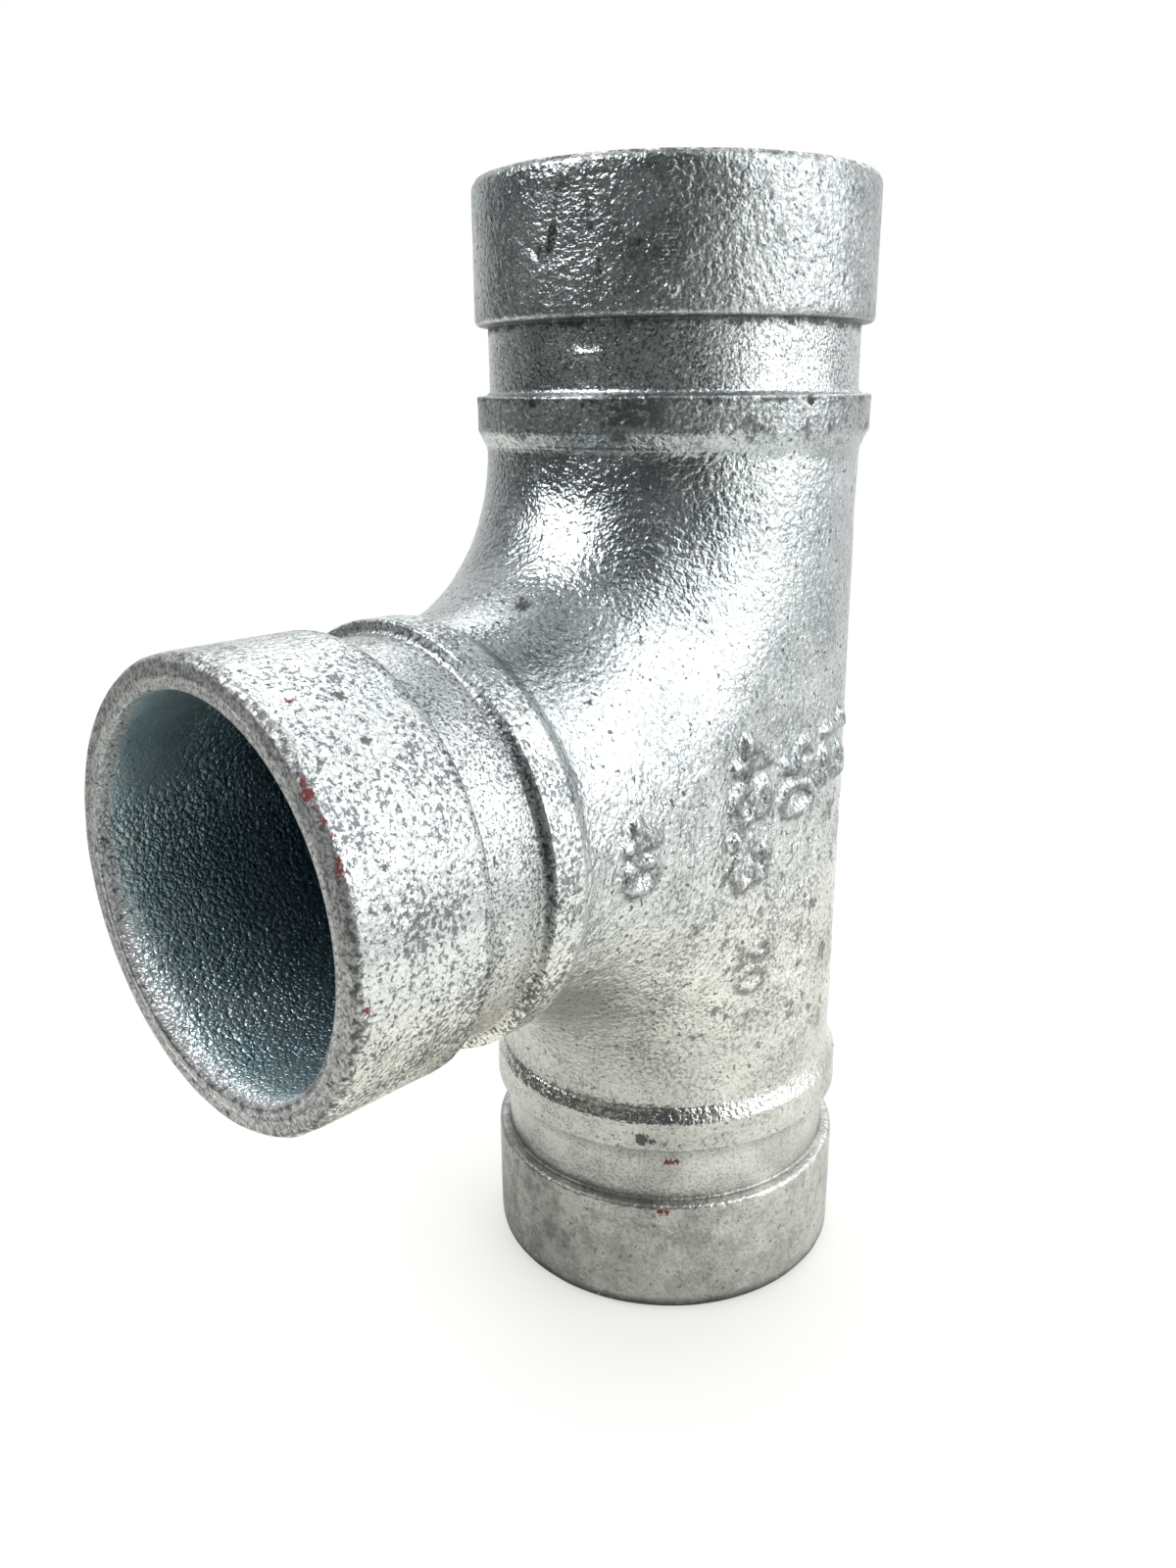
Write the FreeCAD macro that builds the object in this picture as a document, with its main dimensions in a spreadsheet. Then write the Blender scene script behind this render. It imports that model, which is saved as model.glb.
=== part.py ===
import FreeCAD, Part
import math
import os
import Sketcher

# Grooved tee, one iron casting for 48.3 mm pipe. Lengths are millimetres.
# The origin is where the run and the branch axes cross.
# The run lies along Z and stands on its lower end, and the branch points along -Y.
# Quarter bends blend the branch into the run, and both waterways are bored through the blend.

# Driving dimensions: alias, value, what it measures.
DIMENSIONS = (
    ("pipe_dia", 48.3, "outside of the gasket seat at each end"),
    ("wall", 3.8, "thickness at the gasket seats"),
    ("groove_depth", 1.7, "floor of each groove below the seat"),
    ("body_step", 1.3, "outside of the body below the seat"),
    ("collar_height", 1.25, "top of each collar above the body"),
    ("run_reach", 69.85, "centre to each end of the run"),
    ("branch_reach", 69.85, "centre to the end of the branch"),
    ("seat_width", 15.9, "end face to the groove"),
    ("groove_width", 7.95, "one wall of each groove to the other"),
    ("collar_width", 4.1, "flat top of each collar"),
    ("collar_slope", 1.05, "length of the slope from each collar down to the body"),
    ("neck", 0.2, "least straight body between a slope and the sweep"),
    ("crotch_radius", 17.8, "sweep between the run and the branch"),
    ("groove_break", 0.3, "bevel on the top corners of each groove"),
    ("end_bevel", 0.9, "bevel round the outside of each end face"),
    ("mouth_flare", 0.3, "growth of the waterway's radius at each mouth"),
    ("mouth_depth", 2.0, "depth of the flare at each mouth"),
)

SEAT_R = "(dims.pipe_dia / 2)"
BORE_R = f"({SEAT_R} - dims.wall)"
GROOVE_R = f"({SEAT_R} - dims.groove_depth)"
BODY_R = f"({SEAT_R} - dims.body_step)"
COLLAR_R = f"({BODY_R} + dims.collar_height)"

# Depths behind an end face.
GROOVE_BACK = "(dims.seat_width + dims.groove_width)"
COLLAR_BACK = f"({GROOVE_BACK} + dims.collar_width)"
SLOPE_FOOT = f"({COLLAR_BACK} + dims.collar_slope)"

# A sweep's distance from the centre, kept clear of what the shorter arm carries.
SHORT_REACH = "min(dims.run_reach; dims.branch_reach)"
SWEEP_ROOM = f"({SHORT_REACH} - {SLOPE_FOOT} - dims.neck)"
SWEEP = f"min({BODY_R} + dims.crotch_radius; {SWEEP_ROOM})"

VERTICAL = -2
HORIZONTAL = -1
ROOT_POINT = (-1, 1)
START, END, CENTRE = 1, 2, 3


def fill_sheet(doc):
    """Write each driving dimension into the sheet, with its alias and its meaning."""
    sheet = doc.addObject("Spreadsheet::Sheet", "dims")
    for row, (alias, value, meaning) in enumerate(DIMENSIONS, start=1):
        sheet.set(f"A{row}", meaning)
        sheet.set(f"B{row}", str(value))
        sheet.setAlias(f"B{row}", alias)
    doc.recompute()
    return sheet


def add_sketch(body, name, role, offset=None):
    """A sketch on one of the body's origin planes, moved along its normal by an expression."""
    sketch = body.newObject("Sketcher::SketchObject", name)
    plane = [item for item in body.Origin.OriginFeatures if item.Role == role]
    sketch.AttachmentSupport = [(plane[0], "")]
    sketch.MapMode = "FlatFace"
    if offset:
        sketch.setExpression("AttachmentOffset.Base.z", offset)
    return sketch


def bind(sketch, kind, target, expression):
    """One driving constraint whose value follows an expression."""
    value = float(sketch.evalExpression(expression))
    index = sketch.addConstraint(Sketcher.Constraint(kind, *target, value))
    sketch.setExpression(f"Constraints[{index}]", expression)


def fix_point(sketch, point, across, up):
    """Hold a point at two expressions, or on an axis where one of them is None."""
    if across is None:
        sketch.addConstraint(Sketcher.Constraint("PointOnObject", *point, VERTICAL))
    else:
        bind(sketch, "DistanceX", (*ROOT_POINT, *point), across)
    if up is None:
        sketch.addConstraint(Sketcher.Constraint("PointOnObject", *point, HORIZONTAL))
    else:
        bind(sketch, "DistanceY", (*ROOT_POINT, *point), up)


def place(sketch, across, up):
    """The point that two expressions give now."""
    x = 0.0 if across is None else float(sketch.evalExpression(across))
    y = 0.0 if up is None else float(sketch.evalExpression(up))
    return FreeCAD.Vector(x, y, 0)


def draw_outline(sketch, corners):
    """A closed outline of straight lines through the corners."""
    points = [place(sketch, *corner) for corner in corners]
    lines = []
    for index, point in enumerate(points):
        following = points[(index + 1) % len(points)]
        lines.append(sketch.addGeometry(Part.LineSegment(point, following)))
    for index, line in enumerate(lines):
        following = lines[(index + 1) % len(lines)]
        sketch.addConstraint(Sketcher.Constraint("Coincident", line, END, following, START))
    for line, corner in zip(lines, corners):
        fix_point(sketch, (line, START), *corner)


def draw_half_disc(sketch, radius, first_angle):
    """Half of a disc about the sketch's origin, from first_angle round by half a turn."""
    size = float(sketch.evalExpression(radius))
    circle = Part.Circle(FreeCAD.Vector(0, 0, 0), FreeCAD.Vector(0, 0, 1), size)
    arc = sketch.addGeometry(Part.ArcOfCircle(circle, first_angle, first_angle + math.pi))
    start = sketch.getPoint(arc, START)
    end = sketch.getPoint(arc, END)
    chord = sketch.addGeometry(Part.LineSegment(end, start))
    sketch.addConstraint(Sketcher.Constraint("Coincident", arc, CENTRE, *ROOT_POINT))
    sketch.addConstraint(Sketcher.Constraint("PointOnObject", arc, START, HORIZONTAL))
    sketch.addConstraint(Sketcher.Constraint("PointOnObject", arc, END, HORIZONTAL))
    sketch.addConstraint(Sketcher.Constraint("Coincident", arc, END, chord, START))
    sketch.addConstraint(Sketcher.Constraint("Coincident", chord, END, arc, START))
    bind(sketch, "Radius", (arc,), radius)


def draw_web(sketch, sweep):
    """The three-sided side web: a straight back and one sweep to each half of the run."""
    size = float(sketch.evalExpression(sweep))
    normal = FreeCAD.Vector(0, 0, 1)
    above = Part.Circle(FreeCAD.Vector(-size, size, 0), normal, size)
    below = Part.Circle(FreeCAD.Vector(-size, -size, 0), normal, size)
    upper = sketch.addGeometry(Part.ArcOfCircle(above, -math.pi / 2, 0))
    lower = sketch.addGeometry(Part.ArcOfCircle(below, 0, math.pi / 2))
    top = FreeCAD.Vector(0, size, 0)
    bottom = FreeCAD.Vector(0, -size, 0)
    back = sketch.addGeometry(Part.LineSegment(top, bottom))
    sketch.addConstraint(Sketcher.Constraint("Coincident", upper, END, back, START))
    sketch.addConstraint(Sketcher.Constraint("Coincident", back, END, lower, START))
    sketch.addConstraint(Sketcher.Constraint("Coincident", lower, END, upper, START))
    fix_point(sketch, (upper, START), f"-{sweep}", None)
    fix_point(sketch, (back, START), None, sweep)
    fix_point(sketch, (back, END), None, f"-{sweep}")
    bind(sketch, "DistanceX", (*ROOT_POINT, upper, CENTRE), f"-{sweep}")
    bind(sketch, "DistanceX", (*ROOT_POINT, lower, CENTRE), f"-{sweep}")


def add_pad(body, name, sketch, length):
    """Extrude a sketch the same way to both sides of its plane."""
    pad = body.newObject("PartDesign::Pad", name)
    pad.Profile = sketch
    pad.Midplane = True
    pad.setExpression("Length", length)
    return pad


def add_turn(body, kind, name, sketch, axis, angle=360.0, reverse=False):
    """Revolve a sketch about one of its own lines or axes, to add or to cut."""
    turn = body.newObject(f"PartDesign::{kind}", name)
    turn.Profile = sketch
    turn.ReferenceAxis = (sketch, [axis])
    turn.Angle = angle
    turn.Reversed = reverse
    return turn


def add_mirror(body, name, original):
    """Repeat a feature below the plane that holds the branch's axis."""
    mirror = body.newObject("PartDesign::Mirrored", name)
    plane = [item for item in body.Origin.OriginFeatures if item.Role == "XY_Plane"]
    mirror.Originals = [original]
    mirror.MirrorPlane = (plane[0], [""])
    body.Tip = mirror
    return mirror


def add_swept_middle(body):
    """The middle of the tee: a round run and branch blended by quarter bends.

    Each bend's axis lies one sweep from both pipe axes, so the bend touches each pipe
    along a half circle. A flat web fills the side between the bends and the run's back.
    """
    web_sketch = add_sketch(body, "web_outline", "YZ_Plane")
    draw_web(web_sketch, SWEEP)
    add_pad(body, "side_web", web_sketch, f"2 * {BODY_R}")

    back_sketch = add_sketch(body, "back_outline", "XY_Plane")
    draw_half_disc(back_sketch, BODY_R, 0.0)
    add_pad(body, "run_back", back_sketch, f"2 * {SWEEP}")

    bend_sketch = add_sketch(body, "bend_outline", "XY_Plane", SWEEP)
    draw_half_disc(bend_sketch, BODY_R, math.pi)
    left = place(bend_sketch, f"-{BODY_R}", f"-{SWEEP}")
    right = place(bend_sketch, BODY_R, f"-{SWEEP}")
    pivot = bend_sketch.addGeometry(Part.LineSegment(left, right), True)
    fix_point(bend_sketch, (pivot, START), f"-{BODY_R}", f"-{SWEEP}")
    fix_point(bend_sketch, (pivot, END), BODY_R, f"-{SWEEP}")
    bend = add_turn(body, "Revolution", "upper_bend", bend_sketch, "Axis0", 90.0, True)
    add_mirror(body, "lower_bend", bend)


def end_section(reach):
    """Half section of a grooved end as (radius, distance), from the sweep to the end face."""
    bevel_start = f"{reach} - dims.end_bevel"
    groove_front = f"{reach} - dims.seat_width"
    groove_back = f"{reach} - {GROOVE_BACK}"
    collar_back = f"{reach} - {COLLAR_BACK}"
    slope_foot = f"{reach} - {SLOPE_FOOT}"
    return [
        (None, SWEEP),
        (BODY_R, SWEEP),
        (BODY_R, slope_foot),
        (COLLAR_R, collar_back),
        (COLLAR_R, f"{groove_back} - dims.groove_break"),
        (f"{COLLAR_R} - dims.groove_break", groove_back),
        (GROOVE_R, groove_back),
        (GROOVE_R, groove_front),
        (f"{SEAT_R} - dims.groove_break", groove_front),
        (SEAT_R, f"{groove_front} + dims.groove_break"),
        (SEAT_R, bevel_start),
        (f"{SEAT_R} - dims.end_bevel", reach),
        (None, reach),
    ]


def add_ends(body):
    """The three grooved ends: two on the run, turned about Z, and one on the branch."""
    run_sketch = add_sketch(body, "run_section", "YZ_Plane")
    draw_outline(run_sketch, end_section("dims.run_reach"))
    upper = add_turn(body, "Revolution", "upper_end", run_sketch, "V_Axis")
    add_mirror(body, "lower_end", upper)

    branch_sketch = add_sketch(body, "branch_section", "YZ_Plane")
    section = end_section("dims.branch_reach")
    draw_outline(branch_sketch, [(f"-({along})", radius) for radius, along in section])
    add_turn(body, "Revolution", "branch_end", branch_sketch, "H_Axis")


def cut_waterways(body):
    """The waterways, cored from each of the three mouths to the crossing of the axes.

    The cut faces aren't merged, so each half of the run keeps a bore wall of its own.
    """
    flare_r = f"{BORE_R} + dims.mouth_flare"
    run_sketch = add_sketch(body, "run_bore_section", "YZ_Plane")
    draw_outline(run_sketch, [
        (None, None),
        (BORE_R, None),
        (BORE_R, "dims.run_reach - dims.mouth_depth"),
        (flare_r, "dims.run_reach"),
        (None, "dims.run_reach"),
    ])
    upper = add_turn(body, "Groove", "upper_waterway", run_sketch, "V_Axis")
    lower = add_mirror(body, "lower_waterway", upper)

    branch_sketch = add_sketch(body, "branch_bore_section", "YZ_Plane")
    draw_outline(branch_sketch, [
        (None, None),
        (None, BORE_R),
        ("-(dims.branch_reach - dims.mouth_depth)", BORE_R),
        ("-dims.branch_reach", flare_r),
        ("-dims.branch_reach", None),
    ])
    branch = add_turn(body, "Groove", "branch_waterway", branch_sketch, "H_Axis")
    for cut in (upper, lower, branch):
        cut.Refine = False


def build_tee(doc):
    """The whole casting as one body."""
    body = doc.addObject("PartDesign::Body", "tee_body")
    body.Label = "tee_body"
    body.Placement = FreeCAD.Placement()
    add_swept_middle(body)
    add_ends(body)
    doc.recompute()
    closed_volume = body.Shape.Volume
    cut_waterways(body)
    doc.recompute()
    if body.Shape.Volume >= closed_volume:
        raise RuntimeError("the waterways cut nothing")
    return body


def check(doc, parts):
    """Stop before anything is written if an object failed or a part's shape isn't sound."""
    for item in doc.Objects:
        if "Invalid" in item.State or "Error" in item.State:
            raise RuntimeError(f"{item.Name} failed: {item.State}")
    for part in parts:
        if part.Shape.isNull() or not part.Shape.isValid():
            raise RuntimeError(f"{part.Label} has no sound shape")


def write(parts):
    """One STEP file for each part, named after it."""
    os.makedirs("parts", exist_ok=True)
    for part in parts:
        part.Shape.exportStep(f"parts/{part.Label}.step")
        solids = len(part.Shape.Solids)
        print(part.Label, "solids", solids, "volume", round(part.Shape.Volume, 1))


doc = FreeCAD.newDocument("grooved_tee")
fill_sheet(doc)
parts = [build_tee(doc)]
check(doc, parts)
write(parts)
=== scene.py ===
import math
from types import SimpleNamespace

import bmesh
import bpy
import numpy as np
from mathutils import Matrix, Vector
from mathutils.geometry import delaunay_2d_cdt


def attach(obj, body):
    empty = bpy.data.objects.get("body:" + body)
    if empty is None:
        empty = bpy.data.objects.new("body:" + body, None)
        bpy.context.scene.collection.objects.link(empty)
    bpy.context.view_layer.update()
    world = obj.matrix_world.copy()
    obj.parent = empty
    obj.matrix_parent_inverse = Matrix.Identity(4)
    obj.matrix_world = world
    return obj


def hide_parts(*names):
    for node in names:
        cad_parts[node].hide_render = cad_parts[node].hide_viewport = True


# Grooved tee: one galvanised iron casting, dressed as the photograph shows it.
# Metres in Blender, millimetres in the shape code. Origin where the axes cross.

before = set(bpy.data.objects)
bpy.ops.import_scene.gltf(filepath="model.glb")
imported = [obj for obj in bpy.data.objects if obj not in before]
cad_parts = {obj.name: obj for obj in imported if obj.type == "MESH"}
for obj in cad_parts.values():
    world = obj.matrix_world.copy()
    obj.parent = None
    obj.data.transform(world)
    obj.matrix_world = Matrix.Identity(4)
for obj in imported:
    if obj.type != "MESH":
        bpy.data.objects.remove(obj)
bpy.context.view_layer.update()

MM = 0.001

# The tee's own dimensions, as in the CAD sheet.
REACH = 69.85
SEAT_R = 24.15
GROOVE_R = 22.45
COLLAR_R = 24.10
BODY_R = 22.85
BORE_R = 20.35
MOUTH_R = 20.65
MOUTH_DEPTH = 2.0
SWEEP = 40.65
GROOVE_FRONT = REACH - 15.9
GROOVE_BACK = GROOVE_FRONT - 7.95
COLLAR_BACK = GROOVE_BACK - 4.1
SLOPE_FOOT = 39.95

# The backdrop's side of the room, as a direction.
PALE_SIDE = (0.09, 0.996, 0.0)

# How deep the mouth's worn lip reaches, and how fast the bore's painted shade darkens inwards.
FLARE = 4.2
DARK_DEPTH = 14.5

# The bare wall between bore and outside, in the arms and round the bends.
MID_WALL = 0.5 * (BORE_R + BODY_R)
BEND_WALL = 21.8

# Mesh density. AROUND counts the steps over half a turn, and CORNER_TURN is the largest turn in degrees
# between two points of a rounded corner. Steps are in millimetres, and WEB_ROW and WEB_CLEAR are shares
# of the web's step.
AROUND = 86
CORNER_TURN = 28
ARC_STEP = 0.92
FINE_OFFSETS = (0.0, 0.25, 0.5, 0.75, 1.0, 1.3, 1.65, 2.1, 2.7)
OUTER_STEP = 0.9
MOUTH_STEP = 1.0
DEEP_STEP = 3.0
MOUTH_ROWS = 18
WEB_STEP = 0.7
WEB_FINE = 0.42
WEB_ROW = 0.866
WEB_CLEAR = 0.55

# The rounding between the two bores, and how near to an axis a sweep's tip is put right on it.
CROTCH_ROUND = 2.0
TIP_GAP = 0.02


# Noise on arrays of points

def lattice(cells, seed):
    """A repeatable value from 0 to 1 for each whole-number cell corner."""
    x, y, z = (cells[..., i].astype(np.int64) for i in range(3))
    h = x * 374761393 + y * 668265263 + z * 2147483647 + seed * 974711
    h = (h ^ (h >> 13)) & 0xFFFFFFFF
    h = (h * 1274126177) & 0xFFFFFFFF
    h = (h ^ (h >> 16)) & 0xFFFFFFFF
    h = (h * 2246822519) & 0xFFFFFFFF
    h = (h ^ (h >> 15)) & 0xFFFFFFFF
    return h / 4294967295.0


def smooth_noise(points, size, seed):
    """Value noise from -1 to 1 whose bumps are about size across."""
    p = points / size + 1000.0
    base = np.floor(p)
    f = p - base
    f = f * f * f * (f * (f * 6 - 15) + 10)
    total = np.zeros(len(points))
    for dx in (0, 1):
        wx = f[:, 0] if dx else 1 - f[:, 0]
        for dy in (0, 1):
            wy = f[:, 1] if dy else 1 - f[:, 1]
            for dz in (0, 1):
                wz = f[:, 2] if dz else 1 - f[:, 2]
                total += wx * wy * wz * lattice(base + (dx, dy, dz), seed)
    return total * 2 - 1


def ramp(value, low, high):
    """A smooth step from 0 at low to 1 at high."""
    t = np.clip((value - low) / (high - low), 0, 1)
    return t * t * (3 - 2 * t)


def bell(value, middle, width):
    """A smooth hump that is 1 at the middle."""
    return np.exp(-((value - middle) / width) ** 2)


# Outline of an arm

def rounded_path(corners, step):
    """Points along straight runs and rounded corners. A corner is (radius, along, rounding, step)."""
    points = [corners[0][:2]]
    for before, corner, after in zip(corners, corners[1:], corners[2:]):
        p0, p1, p2 = (np.array(c[:2], float) for c in (before, corner, after))
        d1 = (p0 - p1) / np.linalg.norm(p0 - p1)
        d2 = (p2 - p1) / np.linalg.norm(p2 - p1)
        half = math.acos(max(-1.0, min(1.0, float(d1 @ d2)))) / 2
        rounding = corner[2]
        cut = rounding / math.tan(half)
        a, b = p1 + d1 * cut, p1 + d2 * cut
        add_run(points, a, before[3] if len(before) > 3 else step)
        middle = p1 + (d1 + d2) / np.linalg.norm(d1 + d2) * rounding / math.sin(half)
        turn = math.pi - 2 * half
        count = max(1, int(math.ceil(turn / math.radians(CORNER_TURN))))
        e1 = (a - middle) / rounding
        e2 = b - middle - ((b - middle) @ e1) * e1
        e2 = e2 / np.linalg.norm(e2)
        for k in range(1, count + 1):
            angle = turn * k / count
            points.append(tuple(middle + rounding * (math.cos(angle) * e1 + math.sin(angle) * e2)))
    add_run(points, np.array(corners[-1][:2], float), corners[-2][3] if len(corners[-2]) > 3 else step)
    return np.array(points)


def add_run(points, target, step):
    """Evenly spaced points from the last one to the target."""
    start = np.array(points[-1], float)
    length = np.linalg.norm(target - start)
    count = max(1, int(round(length / step)))
    for k in range(1, count + 1):
        points.append(tuple(start + (target - start) * k / count))


def whole_outline():
    """(radius, along) from the body, over the collar, groove and end face, to the bore behind the lip."""
    return rounded_path([
        (BODY_R, SLOPE_FOOT - 1.5),
        (BODY_R, SLOPE_FOOT, 3.6, 0.3),
        (COLLAR_R, COLLAR_BACK, 0.9),
        (COLLAR_R, GROOVE_BACK, 0.45, 0.5),
        (GROOVE_R, GROOVE_BACK, 0.75),
        (GROOVE_R, GROOVE_FRONT, 0.35, 0.5),
        (SEAT_R, GROOVE_FRONT, 0.7),
        (SEAT_R, REACH, 1.0, 0.5),
        (MOUTH_R, REACH, 0.45, 0.5),
        (BORE_R, REACH - MOUTH_DEPTH, 4.0),
        (BORE_R, REACH - MOUTH_DEPTH - 1.0),
    ], OUTER_STEP)


OUTLINE = whole_outline()
RISE = int(np.argmax(OUTLINE[:, 1] > COLLAR_BACK))


def outer_radius(along):
    """The body's radius near an arm's slope, for points that still lie on the sweep."""
    return np.interp(along, OUTLINE[:RISE, 1], OUTLINE[:RISE, 0])


def arm_outline():
    """(radius, along) from the end of the sweep to the bore behind the lip."""
    beyond = OUTLINE[int(np.argmax(OUTLINE[:, 1] > SWEEP + TIP_GAP)):]
    return np.concatenate([[(float(outer_radius(SWEEP)), SWEEP)], beyond])


# Strips of the skin: each is rows along a path, by AROUND steps over half a turn

ANGLES = np.linspace(0.0, math.pi, AROUND + 1)
COS = np.cos(ANGLES)
SIN = np.sin(ANGLES)
SIN[0] = 0.0
SIN[-1] = 0.0
COS[0] = 1.0
COS[-1] = -1.0


def row(y, z, radius, ny, nz):
    """One half ring about the point (y, z), bulging along (ny, nz)."""
    return np.stack([radius * COS, y + radius * SIN * ny, z + radius * SIN * nz], axis=1)


def sweep_angles():
    """Angles along a sweep from the branch to the run, closer together near both ends."""
    fine = np.array(FINE_OFFSETS) / SWEEP
    count = int(round((math.pi / 2 - 2 * fine[-1]) * SWEEP / ARC_STEP))
    middle = np.linspace(fine[-1], math.pi / 2 - fine[-1], count + 1)[1:-1]
    return np.concatenate([fine, middle, math.pi / 2 - fine[::-1]])


def sweep_points():
    """(y, z) along the upper sweep. Its tips run along the two axes."""
    angles = sweep_angles()
    y = -SWEEP + SWEEP * np.sin(angles)
    z = SWEEP - SWEEP * np.cos(angles)
    return np.where(y > -TIP_GAP, 0.0, y), np.where(z < TIP_GAP, 0.0, z)


def back_heights():
    """Heights of the rows down the middle of the run's back, level with the sweep's near its tips."""
    fine = SWEEP * (1 - np.sin(np.array(FINE_OFFSETS) / SWEEP))
    count = int(round(2 * fine[-1] / ARC_STEP))
    middle = np.linspace(-fine[-1], fine[-1], count + 1)[1:-1]
    return np.concatenate([-fine, middle, fine[::-1]])


def bore_depths():
    """Shares of the way from the lip to the crossing, for the bore's rows."""
    length = REACH - MOUTH_DEPTH - 1.0
    near = np.arange(MOUTH_ROWS) * MOUTH_STEP
    count = int(round((length - near[-1]) / DEEP_STEP))
    return np.concatenate([near, np.linspace(near[-1], length, count + 1)[1:]]) / length


def back_strip(outline):
    """The run's back half: outside, both ends and the bore, as one closed loop of rows."""
    rows = []
    for z in back_heights():
        rows.append(row(0.0, z, outer_radius(abs(z)), 1, 0))
    for radius, along in outline[1:]:
        rows.append(row(0.0, along, radius, 1, 0))
    start = outline[-1][1]
    for t in bore_depths()[1:]:
        rows.append(row(0.0, start * (1 - t), BORE_R, 1, 0))
    for t in bore_depths()[::-1][1:]:
        rows.append(row(0.0, -start * (1 - t), BORE_R, 1, 0))
    for radius, along in outline[::-1][1:-1]:
        rows.append(row(0.0, -along, radius, 1, 0))
    return np.array(rows)


def front_strip(outline, side):
    """One crotch's half: run outside, end, bore, branch bore, end and outside, closed by the sweep."""
    rows = []
    for radius, along in outline:
        rows.append(row(0.0, side * along, radius, -1, 0))
    start = outline[-1][1]
    mitre = BORE_R * SIN
    turn = CROTCH_ROUND * SIN
    for t in bore_depths()[1:]:
        z = start + (mitre + turn - start) * t
        rows.append(np.stack([BORE_R * COS, -BORE_R * SIN, side * z], axis=1))
    for angle in np.radians([22.5, 45.0, 67.5, 90.0]):
        y = -mitre - turn * (1 - math.cos(angle))
        z = mitre + turn * (1 - math.sin(angle))
        rows.append(np.stack([BORE_R * COS, y, side * z], axis=1))
    for t in bore_depths()[::-1][1:]:
        y = -(start + (mitre + turn - start) * t)
        rows.append(np.stack([BORE_R * COS, y, side * BORE_R * SIN], axis=1))
    for radius, along in outline[::-1][1:]:
        rows.append(row(-along, 0.0, radius, 0, side))
    for angle, y, z in list(zip(sweep_angles(), *sweep_points()))[1:-1]:
        radius = outer_radius(max(-y, z))
        rows.append(row(y, side * z, radius, -math.sin(angle), side * math.cos(angle)))
    return np.array(rows)


def web_patch(side):
    """The flat web on one side, triangulated between the two sweeps and the run's back."""
    ys, zs = sweep_points()
    upper = [(y, z) for y, z in zip(ys, zs) if y < 0.0 and z > 0.0]
    run_tip = min(z for y, z in zip(ys, zs) if y == 0.0)
    branch_tip = max(y for y, z in zip(ys, zs) if z == 0.0)
    back = [(0.0, z) for z in back_heights()[::-1] if abs(z) < run_tip + 1e-6]
    lower = [(y, -z) for y, z in upper[::-1]]
    border = [(branch_tip, 0.0)] + upper + back + lower
    fine = WEB_FINE if side > 0 else WEB_STEP
    inner = []
    for j in range(int(2 * SWEEP / (fine * WEB_ROW)) + 1):
        z = -SWEEP + j * fine * WEB_ROW
        for i in range(int(SWEEP / fine) + 1):
            y = -SWEEP + (i + 0.5 * (j % 2)) * fine
            edge = math.hypot(y + SWEEP, abs(z) - SWEEP) - SWEEP
            if y < -WEB_CLEAR * fine and edge > WEB_CLEAR * fine:
                inner.append((y, z))
    points = [Vector(p) for p in border + inner]
    found = delaunay_2d_cdt(points, [], [list(range(len(border)))], 1, 1e-6)
    spots = np.array([[side * float(outer_radius(max(-p.x, abs(p.y)))), p.x, p.y] for p in found[0]])
    return spots, found[2]


def joined_mesh(name, outline):
    """All strips and webs, welded into one closed mesh in millimetres."""
    spots = []
    faces = []
    total = 0
    for rows in (back_strip(outline), front_strip(outline, 1), front_strip(outline, -1)):
        count, width = rows.shape[:2]
        spots.append(rows.reshape(-1, 3))
        for i in range(count):
            a = total + i * width
            b = total + ((i + 1) % count) * width
            for j in range(width - 1):
                faces.append((a + j, a + j + 1, b + j + 1, b + j))
        total += count * width
    for side in (1, -1):
        points, patch = web_patch(side)
        spots.append(points)
        faces.extend(tuple(total + k for k in face) for face in patch)
        total += len(points)
    mesh = bpy.data.meshes.new(name)
    mesh.from_pydata(np.concatenate(spots).tolist(), [], faces)
    bm = bmesh.new()
    bm.from_mesh(mesh)
    bmesh.ops.remove_doubles(bm, verts=bm.verts, dist=1e-4)
    bmesh.ops.dissolve_degenerate(bm, dist=1e-5, edges=bm.edges)
    bmesh.ops.recalc_face_normals(bm, faces=bm.faces)
    bm.to_mesh(mesh)
    bm.free()
    return mesh


# Zones of the skin, from a point's place

def sweep_distance(y, z):
    """How far a point lies outside the flat skeleton of run, branch and web, seen along X."""
    z = np.abs(z)
    crotch = SWEEP - np.hypot(y + SWEEP, z - SWEEP)
    bend = np.where((z < SWEEP) & (y > -SWEEP), np.maximum(crotch, 0.0), np.where(z >= SWEEP, -y, z))
    return np.where(y >= 0, y, bend)


def arm_place(points):
    """Each point's distance along its arm, and its radius there. The sweep has the body's own radius."""
    x, y, z = points.T

    # Only points beyond the run's own skin can be on the branch's arm.
    on_branch = (y < -SEAT_R - 0.15) & (-y > np.abs(z))
    along = np.where(on_branch, -y, np.abs(z))
    radius = np.where(on_branch, np.hypot(x, z), np.hypot(x, y))
    on_body = along < SWEEP
    inside = np.where(y < -np.abs(z), np.hypot(x, z), np.hypot(x, y))
    body = np.hypot(x, sweep_distance(y, z))
    bored = np.where(on_body, body < BEND_WALL, np.minimum(inside, radius) < MID_WALL)
    return along, np.where(on_body, np.where(bored, inside, body), radius), bored.astype(float)


# Raised casting numbers: strokes in a cell one high

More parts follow.
